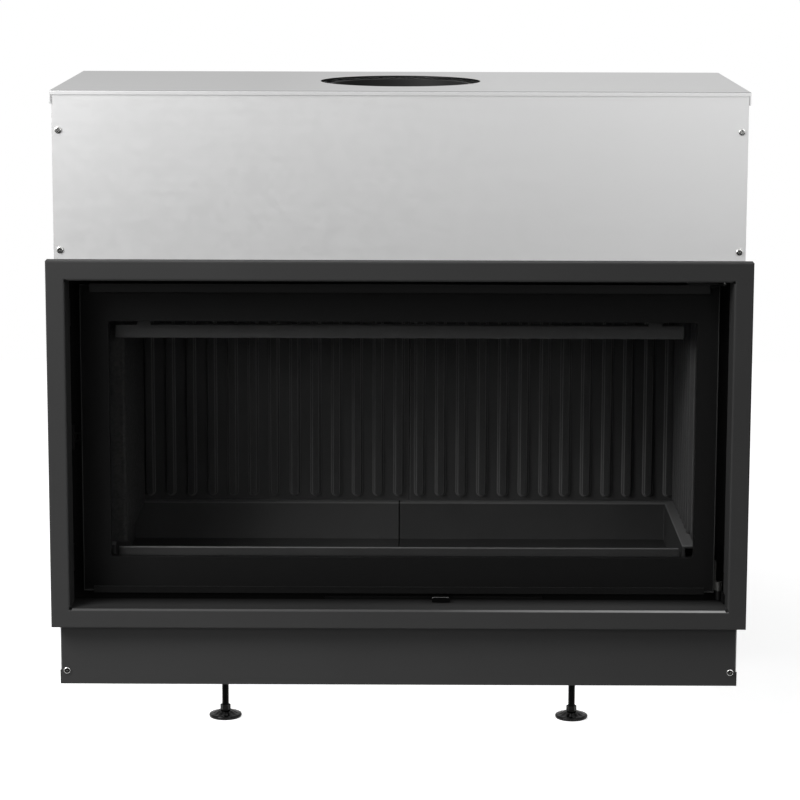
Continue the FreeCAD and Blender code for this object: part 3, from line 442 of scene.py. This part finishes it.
def casting(name, highlight_place, highlight_strength, dark="#393939", light="#494949"):
    """Cast iron, sand cast and blackened: a dark matt grey with a sandy grain, and edges lightened as a
    painted highlight.
    """
    material, tree, shader, place = finish_named(name, Specular_IOR_Level=0.15)
    sand = add(tree, "ShaderNodeTexNoise", {"Scale": 1 / (1.6 * MM), "Detail": 5.0, "Roughness": 0.65},
               {"Vector": place}).outputs["Fac"]
    soot = add(tree, "ShaderNodeTexNoise", {"Scale": 1 / (90 * MM), "Detail": 4.0},
               {"Vector": place}).outputs["Fac"]
    skin = surface(tree, shader, colour=(soot, dark, light), roughness=(sand, 0.5, 0.72),
                   relief=(sand, 0.35, 0.35 * MM))
    # Painted highlight: the rounded corners, or the tray rim, are lightened towards pale grey.
    highlighted = add(tree, "ShaderNodeMath", {"operation": "MULTIPLY", 1: highlight_strength},
                 {0: highlight_place(tree).outputs["Result"]})
    painted_highlight = add(tree, "ShaderNodeMix", {"data_type": "RGBA", 7: linear("#7c7c7c")},
               {0: highlighted.outputs["Value"], 6: skin})
    tree.links.new(painted_highlight.outputs[2], shader.inputs["Base Color"])
    return material


dress(casting("Sand cast iron", rounded_corners, highlight_strength=0.8),
      "fireback_left", "fireback_right", "log_retainer")
dress(casting("Sand cast iron, little rubbed", rounded_corners, highlight_strength=0.25), "side_plate_right")
dress(casting("Sand cast iron with a rubbed rim", upper_rim, highlight_strength=1.0), "hearth_tray_left")
# The right tray's copy of the casting is darker.
dress(casting("Sand cast iron, sooted, with a rubbed rim", upper_rim, highlight_strength=1.0, dark="#313131",
              light="#3f3f3f"), "hearth_tray_right")
soften("fireback_left", "fireback_right", "side_plate_right", width=1.8 * MM)
soften("hearth_tray_left", "hearth_tray_right", width=1.5 * MM)
soften("log_retainer", width=0.8 * MM)

# Refractory board, pressed vermiculite dyed dark: matt and dry, with small flat flakes that catch the light.
refractory, tree, shader, place = finish_named("Pressed vermiculite")
flake = add(tree, "ShaderNodeTexVoronoi", {"Scale": 1 / (3.5 * MM)}, {"Vector": place})
flake_tone = add(tree, "ShaderNodeSeparateColor", None, {"Color": flake.outputs["Color"]}).outputs
surface(tree, shader, colour=(flake_tone["Red"], "#272727", "#343433"),
        roughness=(flake_tone["Green"], 0.75, 1.0), relief=(flake.outputs["Distance"], 0.4, 0.4 * MM))
dress(refractory, "side_slab_left", "baffle_plate")


# Surround frame and skirt: folded 3 mm and 2 mm steel, powder coated dark grey. The frame's returns run back
# to the door, with relief notches where the folds meet, and the skirt is screwed on below it.
sill_low, sill_high = 250 * MM, 270 * MM

# Where the painted shade, the painted door shadow and the painted highlight begin and end, and how much of
# the coat they cover at most or at least.
shade_right, shade_left = 300 * MM, -100 * MM
door_shadow_front, door_shadow_back = -198 * MM, -160 * MM
highlight_left, highlight_right = 50 * MM, 450 * MM
return_from, return_to = -0.3, -0.4
shade_most = 0.45
door_shadow_most = 0.92
highlight_least = 0.1

# Polyester powder coat, baked on: an even satin dark grey with a fine orange-peel texture.
powder_coat, tree, shader, place = finish_named("Powder coat", Specular_IOR_Level=0.05)
peel = add(tree, "ShaderNodeTexNoise", {"Scale": 1 / (1.4 * MM), "Detail": 2.0},
           {"Vector": place}).outputs["Fac"]
drift = add(tree, "ShaderNodeTexNoise", {"Scale": 1 / (180 * MM), "Detail": 3.0},
            {"Vector": place}).outputs["Fac"]
coating = surface(tree, shader, colour=(drift, "#393939", "#3e3e3e"), roughness=(peel, 0.54, 0.68),
                  relief=(peel, 0.15, 0.06 * MM))
spot = add(tree, "ShaderNodeSeparateXYZ", None, {"Vector": place}).outputs
facing = facing_axes(tree)
sill = add(tree, "ShaderNodeMapRange", {"From Min": sill_high, "From Max": sill_low}, {"Value": spot["Z"]})
flat = add(tree, "ShaderNodeMapRange", {"From Min": flat_from, "From Max": flat_to}, {"Value": facing["Z"]})
sill_top = add(tree, "ShaderNodeMath", {"operation": "MULTIPLY"},
               {0: flat.outputs["Result"], 1: sill.outputs["Result"]})

# Painted shade darkens the sill towards the left, and the two upright returns, which look inward to the
# door.
left_shade = add(tree, "ShaderNodeMapRange",
              {"From Min": shade_right, "From Max": shade_left, "To Max": shade_most}, {"Value": spot["X"]})
sill_shade = add(tree, "ShaderNodeMath", {"operation": "MULTIPLY"},
                {0: sill_top.outputs["Value"], 1: left_shade.outputs["Result"]})
inward = add(tree, "ShaderNodeMath", {"operation": "MULTIPLY"}, {0: facing["X"], 1: spot["X"]})
return_shade = add(tree, "ShaderNodeMapRange",
                  {"From Min": return_from, "From Max": return_to, "To Max": shade_most},
                  {"Value": inward.outputs["Value"]})
thin_shade = add(tree, "ShaderNodeMath", {"operation": "ADD"},
                {0: sill_shade.outputs["Value"], 1: return_shade.outputs["Result"]})
painted_shade = add(tree, "ShaderNodeMix", {"data_type": "RGBA", 7: linear("#0c0c0c")},
             {0: thin_shade.outputs["Value"], 6: coating})

# A painted shadow of the door darkens the sill close to the door.
door_shadow_ramp = add(tree, "ShaderNodeMapRange",
            {"From Min": door_shadow_front, "From Max": door_shadow_back, "To Max": door_shadow_most}, {"Value": spot["Y"]})
door_shadow_share = add(tree, "ShaderNodeMath", {"operation": "MULTIPLY"},
                 {0: sill_top.outputs["Value"], 1: door_shadow_ramp.outputs["Result"]})
darker = add(tree, "ShaderNodeMix", {"data_type": "RGBA", 7: linear("#060606")},
             {0: door_shadow_share.outputs["Value"], 6: painted_shade.outputs[2]})

# A painted highlight lightens the sill's front fold, more so towards the right.
right_highlight_ramp = add(tree, "ShaderNodeMapRange",
              {"From Min": highlight_left, "From Max": highlight_right, "To Min": highlight_least}, {"Value": spot["X"]})
sill_fold = add(tree, "ShaderNodeMath", {"operation": "MULTIPLY"},
                {0: front_fold(tree, facing), 1: sill.outputs["Result"]})
fold_highlight = add(tree, "ShaderNodeMath", {"operation": "MULTIPLY"},
           {0: sill_fold.outputs["Value"], 1: right_highlight_ramp.outputs["Result"]})
painted_highlight = add(tree, "ShaderNodeMix", {"data_type": "RGBA", 7: linear("#a9a9a9")},
           {0: fold_highlight.outputs["Value"], 6: darker.outputs[2]})
tree.links.new(painted_highlight.outputs[2], shader.inputs["Base Color"])
dress(powder_coat, "surround_frame", "skirt_panel")
soften("skirt_panel", width=0.5 * MM)


# Door: a welded steel frame behind one pane of ceramic glass, which two folded strips hold along its top and
# bottom edge. A black border is printed on the pane's back, and a braided rope seals the door on its seat.
arris = 1.0 * MM
glass_ior = 1.53
print_sink = 0.05 * MM
print_left, print_right = -419 * MM, 429 * MM
print_bottom, print_top = 243 * MM, 591 * MM
print_corner = 4.0 * MM
print_corner_steps = 6
rope_inset = 5.0 * MM
rope_corner = 23.0 * MM
rope_half_width = 4.6 * MM
rope_half_depth = 3.6 * MM
rope_strands = 4
rope_strand = 0.5 * MM
rope_lay = 9.0 * MM
rope_step = 1.8 * MM
rope_sides = 16
dress(stove_paint, "door_frame")
soften("door_frame", "glass_strip_bottom", "glass_strip_top", width=0.5 * MM)

# Black lacquer, dipped and stoved: a deep thin black with a low sheen, as small steel fittings have it.
lacquer, tree, shader, place = finish_named("Stoved black lacquer", Specular_IOR_Level=0.2)
ripple = add(tree, "ShaderNodeTexNoise", {"Scale": 1 / (4 * MM), "Detail": 3.0},
             {"Vector": place}).outputs["Fac"]
surface(tree, shader, colour=(ripple, "#060606", "#0c0c0c"), roughness=(ripple, 0.36, 0.5))
dress(lacquer, "glass_strip_bottom", "glass_strip_top", "strip_screws")

# Ceramic glass, rolled and ceramised: clear with a faint smoky tint, and a plain mirror reflection.
ceramic_glass = bpy.data.materials.new("Ceramic glass")
ceramic_glass.use_nodes = True
tree = ceramic_glass.node_tree
tree.nodes.remove(tree.nodes["Principled BSDF"])
clear = add(tree, "ShaderNodeBsdfTransparent", {"Color": linear("#f8f8f8")})
mirror = add(tree, "ShaderNodeBsdfGlossy", {"Color": linear("#ffffff"), "Roughness": 0.02})
back_side = add(tree, "ShaderNodeNewGeometry").outputs["Backfacing"]
side_ior = add(tree, "ShaderNodeMapRange", {"To Min": glass_ior, "To Max": 1 / glass_ior},
               {"Value": back_side})
mirrored = add(tree, "ShaderNodeFresnel", None, {"IOR": side_ior.outputs["Result"]})
pane_mix = add(tree, "ShaderNodeMixShader", None, {
    0: mirrored.outputs["Fac"], 1: clear.outputs["BSDF"], 2: mirror.outputs["BSDF"]})
tree.links.new(pane_mix.outputs["Shader"], tree.nodes["Material Output"].inputs["Surface"])

# Ground glass, where the pane's edge was cut and seamed on a belt: frosted, dark grey and matt.
ground_edge, tree, shader, place = finish_named("Ground glass edge", Roughness=0.6)
scratch = add(tree, "ShaderNodeTexNoise", {"Scale": 1 / (0.8 * MM), "Detail": 2.0},
              {"Vector": place}).outputs["Fac"]
surface(tree, shader, colour=(scratch, "#2c2d2c", "#404140"))

# Screen-printed enamel, fired on: dense even black that lies on the back of the pane.
enamel, tree, shader, place = finish_named("Fired black enamel", Roughness=0.4, Specular_IOR_Level=0.0)
speck = add(tree, "ShaderNodeTexNoise", {"Scale": 1 / (1.2 * MM), "Detail": 2.0},
            {"Vector": place}).outputs["Fac"]
surface(tree, shader, colour=(speck, "#1d1d1d", "#232323"))


def glass_pane(low, high):
    """Pane with small chamfers, which take the second material together with the cut edges."""
    shape = bmesh.new()
    size = Matrix.Diagonal((*(high - low), 1.0))
    bmesh.ops.create_cube(shape, size=1.0, matrix=Matrix.Translation((low + high) / 2) @ size)
    edges = [edge for edge in shape.edges if abs(edge.verts[0].co.y - edge.verts[1].co.y) < arris]
    bmesh.ops.bevel(shape, geom=edges, offset=arris, segments=1, affect="EDGES")
    for face in shape.faces:
        face.material_index = 0 if abs(face.normal.y) > flat_from else 1
    return shape


def border_print(low, high):
    """Ring in the pane's back skin, with rounded inner corners."""
    shape = bmesh.new()
    y = high.y - print_sink
    outer = [shape.verts.new((x, y, z)) for x, z in (
        (low.x + arris, low.z + arris), (high.x - arris, low.z + arris),
        (high.x - arris, high.z - arris), (low.x + arris, high.z - arris))]
    corners = ((print_left, print_bottom, 180), (print_right, print_bottom, 270),
               (print_right, print_top, 0), (print_left, print_top, 90))
    inner = []
    for x, z, start in corners:
        middle_x = x + math.copysign(print_corner, -x)
        middle_z = z + (print_corner if z == print_bottom else -print_corner)
        arc = []
        for step in range(print_corner_steps + 1):
            angle = math.radians(start + 90 * step / print_corner_steps)
            arc.append(shape.verts.new((middle_x + print_corner * math.cos(angle), y,
                                        middle_z + print_corner * math.sin(angle))))
        inner.append(arc)
    half = print_corner_steps // 2
    for number in range(len(outer)):
        after = (number + 1) % len(outer)
        side = inner[number][half:] + inner[after][:half + 1]
        shape.faces.new([outer[number], outer[after]] + side[::-1])
    bmesh.ops.recalc_face_normals(shape, faces=shape.faces)
    return shape


pane = mesh_piece("glass_pane", glass_pane(*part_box("door_glass")), ceramic_glass, "door")
pane.data.materials.append(ground_edge)
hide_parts("door_glass")
mesh_piece("glass_border_print", border_print(*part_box("door_glass")), enamel, "door")

# Knitted glass-fibre rope and tape, graphite coated: dark grey, dull and fibrous, laid in strands.
rope_fibre, tree, shader, place = finish_named("Graphite glass fibre", Roughness=0.85)
fibre = add(tree, "ShaderNodeTexNoise", {"Scale": 1 / (0.8 * MM), "Detail": 3.0},
            {"Vector": place}).outputs["Fac"]
surface(tree, shader, colour=(fibre, "#242423", "#454442"), relief=(fibre, 0.5, 0.3 * MM))
dress(rope_fibre, "glass_gasket")


def rope_ring(low, high):
    """Braided rope round the door: an oval tube whose surface rises and falls with its strands."""
    shape = bmesh.new()
    left, right = low.x + rope_inset, high.x - rope_inset
    bottom, top = low.z + rope_inset, high.z - rope_inset
    turn_left, turn_right = left + rope_corner, right - rope_corner
    turn_bottom, turn_top = bottom + rope_corner, top - rope_corner
    middle_y = (low.y + high.y) / 2

    # Each side's two ends, then the middle of the corner after it and the angle at which that corner begins.
    sides = (((turn_left, bottom), (turn_right, bottom), (turn_right, turn_bottom), -90),
             ((right, turn_bottom), (right, turn_top), (turn_right, turn_top), 0),
             ((turn_right, top), (turn_left, top), (turn_left, turn_top), 90),
             ((left, turn_top), (left, turn_bottom), (turn_left, turn_bottom), 180))
    route = []
    for start, end, centre, angle in sides:
        run = Vector((end[0] - start[0], 0, end[1] - start[1]))
        count = int(run.length / rope_step)
        out = run.normalized().cross(Vector((0, 1, 0)))
        for step in range(count):
            route.append((Vector((start[0], middle_y, start[1])) + run * step / count, out))
        count = int(math.pi / 2 * rope_corner / rope_step)
        for step in range(count):
            turn = math.radians(angle + 90 * step / count)
            out = Vector((math.cos(turn), 0, math.sin(turn)))
            route.append((Vector((centre[0], middle_y, centre[1])) + out * rope_corner, out))
    rings = []
    for number, (point, out) in enumerate(route):
        lay = 2 * math.pi * number * rope_step / rope_lay
        ring = []
        for side in range(rope_sides):
            angle = 2 * math.pi * side / rope_sides
            swell = max(math.sin(rope_strands * angle + lay), math.sin(rope_strands * angle - lay))
            across = (rope_half_width - rope_strand * (1 - swell)) * math.cos(angle)
            back = (rope_half_depth - rope_strand * (1 - swell)) * math.sin(angle)
            ring.append(shape.verts.new(point + out * across + Vector((0, back, 0))))
        rings.append(ring)
    for here, after in zip(rings, rings[1:] + rings[:1]):
        for side in range(rope_sides):
            beside = (side + 1) % rope_sides
            shape.faces.new((here[side], here[beside], after[beside], after[side]))
    bmesh.ops.recalc_face_normals(shape, faces=shape.faces)
    for face in shape.faces:
        face.smooth = True
    return shape


rope = mesh_piece("braided_rope_seal", rope_ring(*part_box("door_rope_seal")), rope_fibre,
                  "door")
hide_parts("door_rope_seal")


# Hinges and catch: lug and brackets of black lacquered plate, a bare steel leaf, turned pins, and the hidden
# catch's block, plunger, roller and strike. The brackets are welded to the frame, leaf and lug to the door.
ring_spacing = 2.513 * MM
wave_rings = 20 / (2 * math.pi)
dress(lacquer, "hinge_lug_upper", "hinge_bracket_lower", "hinge_bracket_upper", "catch_housing")
dress(blackened, "catch_plunger", "catch_roller", "catch_strike")

# Turned steel, machined and oiled: bright grey with rings left by the tool. They are drawn 2.5 mm apart,
# coarser than they are, so that they show. A wave pattern of scale 1 holds wave_rings of them to the metre.
turned_steel, tree, shader, place = finish_named("Turned steel", Metallic=1.0)
rings = add(tree, "ShaderNodeTexWave",
            {"Scale": 1 / (ring_spacing * wave_rings), "Distortion": 0.6, "bands_direction": "Z"},
            {"Vector": place}).outputs["Fac"]
surface(tree, shader, colour=(rings, "#8e8e8c", "#a9a9a6"), roughness=(rings, 0.25, 0.38))
dress(turned_steel, "hinge_pins", "slider_pins")

# Oiled steel of the lower leaf, forged and left bare: a mid grey, smeared by oil that creeps from the pin.
oiled_steel, tree, shader, place = finish_named("Oiled steel", Metallic=1.0)
oil = add(tree, "ShaderNodeTexNoise", {"Scale": 1 / (5 * MM), "Detail": 4.0},
          {"Vector": place}).outputs["Fac"]
surface(tree, shader, colour=(oil, "#454544", "#6c6c6a"), roughness=(oil, 0.35, 0.55))
dress(oiled_steel, "hinge_leaf_lower")


# Air slider: a slotted plate on two shoulder pins behind the sill, with an arm that comes forward over the
# sill to a small upright tab, which is moved to the left to close the air.
bare_from, bare_to = 0.15, 0.4

# Lacquered steel: black below, with bare grey metal on top, partly where fingers rub it and partly a painted
# highlight.
knob_wear_and_highlight, tree, shader, place = finish_named("Lacquered steel, rubbed bare", Roughness=0.35,
                                            Specular_IOR_Level=0.08)
smear = add(tree, "ShaderNodeTexNoise", {"Scale": 1 / (5 * MM), "Detail": 3.0},
            {"Vector": place}).outputs["Fac"]
top_wear_and_highlight = add(tree, "ShaderNodeMath", {"operation": "MULTIPLY"}, {0: facing_axes(tree)["Z"], 1: smear})
bare = add(tree, "ShaderNodeMapRange", {"From Min": bare_from, "From Max": bare_to},
           {"Value": top_wear_and_highlight.outputs["Value"]}).outputs["Result"]
surface(tree, shader, colour=(bare, "#070707", "#9a9a99"))
tree.links.new(bare, shader.inputs["Metallic"])
dress(knob_wear_and_highlight, "air_knob")
dress(lacquer, "air_slider")
soften("air_slider", "air_knob", width=0.4 * MM)


# Studio: a pale floor, a dark cloth in front that only reflections see, four soft lamps, a white world and
# the camera, which stands above the lid's height and looks slightly down. Its lengths are in metres.
across = (-3.0, 3.0)
floor_front, floor_back = -0.75, 3.0
floor_level = 0.0
glow_near, glow_far = 0.5, 1.4
glow_least = 0.7
cloth_edge = -0.25
cloth_end = -6.0
cloth_level = -0.001
cloth_top = 0.7
lamp_target = (0.0, 0.0, 0.45)
room_light = 0.06
camera_place = (0.0108, -4.1675, 1.2082)
camera_down = math.radians(9.52)
camera_turn = math.radians(0.142)
camera_roll = math.radians(0.166)


def flat_sheet(name, x, y, z, material):
    """Rectangle that belongs to the studio, sloping from its first to its second height."""
    mesh = bpy.data.meshes.new(name)
    points = [(x[0], y[0], z[0]), (x[1], y[0], z[0]), (x[1], y[1], z[1]), (x[0], y[1], z[1])]
    mesh.from_pydata(points, [], [(0, 1, 2, 3)])
    sheet = bpy.data.objects.new(name, mesh)
    bpy.context.scene.collection.objects.link(sheet)
    mesh.materials.append(material)
    return sheet


def shown_rays(tree):
    """1 for what the camera, reflections and glass show, 0 for light that falls on other things."""
    ray = add(tree, "ShaderNodeLightPath").outputs
    direct = add(tree, "ShaderNodeMath", {"operation": "MAXIMUM"},
                 {0: ray["Is Camera Ray"], 1: ray["Is Glossy Ray"]})
    shown = add(tree, "ShaderNodeMath", {"operation": "MAXIMUM"},
                {0: direct.outputs["Value"], 1: ray["Is Transmission Ray"]})
    return shown.outputs["Value"]


# White floor paint, rolled on matt: it shows as plain white away from the object and keeps its shadow below.
floor_paint, tree, shader, place = finish_named(
    "White studio floor", Roughness=0.9, Specular_IOR_Level=0.0, Base_Color=linear("#f4f4f4"),
    Emission_Color=linear("#ffffff"))
reach = add(tree, "ShaderNodeVectorMath", {"operation": "LENGTH"}, {0: place})
fade = add(tree, "ShaderNodeMapRange", {"From Min": glow_near, "From Max": glow_far, "To Min": glow_least},
           {"Value": reach.outputs["Value"]})
glow = add(tree, "ShaderNodeMath", {"operation": "MULTIPLY"},
           {0: fade.outputs["Result"], 1: shown_rays(tree)})
tree.links.new(glow.outputs["Value"], shader.inputs["Emission Strength"])
flat_sheet("studio_floor", across, (cloth_edge, floor_back), (floor_level, floor_level), floor_paint)
front_floor = flat_sheet("studio_floor_front", across, (floor_front, cloth_edge),
                         (floor_level, floor_level), floor_paint)
front_floor.visible_glossy = False

# Molton, a black cotton cloth brushed on both sides: it gives back next to no light.
molton = finish_named("Black molton cloth", Roughness=1.0, Specular_IOR_Level=0.0,
                      Base_Color=linear("#0a0a0a"))[0]
lying = flat_sheet("studio_cloth", across, (cloth_end, cloth_edge), (cloth_level, cloth_level), molton)
standing = flat_sheet("standing_cloth", across, (cloth_end, cloth_end), (cloth_level, cloth_top), molton)
for cloth in (lying, standing):
    cloth.visible_camera = False
    cloth.visible_diffuse = False
    cloth.visible_shadow = False


def soft_lamp(name, place, width, height, watts):
    """Soft box aimed at the middle of the object."""
    light = bpy.data.lights.new(name, "AREA")
    light.shape = "RECTANGLE"
    light.size = width
    light.size_y = height
    light.energy = watts
    lamp = bpy.data.objects.new(name, light)
    lamp.location = place
    lamp.rotation_euler = (Vector(lamp_target) - Vector(place)).to_track_quat("-Z", "Y").to_euler()
    bpy.context.scene.collection.objects.link(lamp)


soft_lamp("key_lamp", place=(-1.55, -1.3, 1.75), width=0.8, height=1.2, watts=50)
soft_lamp("fill_lamp", place=(1.4, -2.9, 1.2), width=1.0, height=1.0, watts=9)
soft_lamp("top_lamp", place=(1.5, -1.0, 2.4), width=0.8, height=0.8, watts=4)
soft_lamp("front_lamp", place=(-2.0, -3.6, 1.5), width=1.0, height=0.9, watts=19)

world = bpy.data.worlds.new("white_room")
bpy.context.scene.world = world
world.use_nodes = True
tree = world.node_tree
ambient = tree.nodes["Background"]
ambient.inputs["Color"].default_value = linear("#ffffff")
white = add(tree, "ShaderNodeMapRange", {"To Min": room_light, "To Max": 1.0}, {"Value": shown_rays(tree)})
tree.links.new(white.outputs["Result"], ambient.inputs["Strength"])

camera_data = bpy.data.cameras.new("camera")
camera_data.lens = 127.1
camera_data.sensor_width = 36.0
camera_data.shift_y = -0.05
camera_data.clip_end = 50.0
camera = bpy.data.objects.new("camera", camera_data)
turned = Matrix.Rotation(camera_turn, 4, "Z")
pitched = Matrix.Rotation(math.pi / 2 - camera_down, 4, "X")
rolled = Matrix.Rotation(camera_roll, 4, "Z")
camera.matrix_world = Matrix.Translation(camera_place) @ turned @ pitched @ rolled
bpy.context.scene.collection.objects.link(camera)
bpy.context.scene.camera = camera
bpy.context.scene.view_settings.view_transform = "Standard"
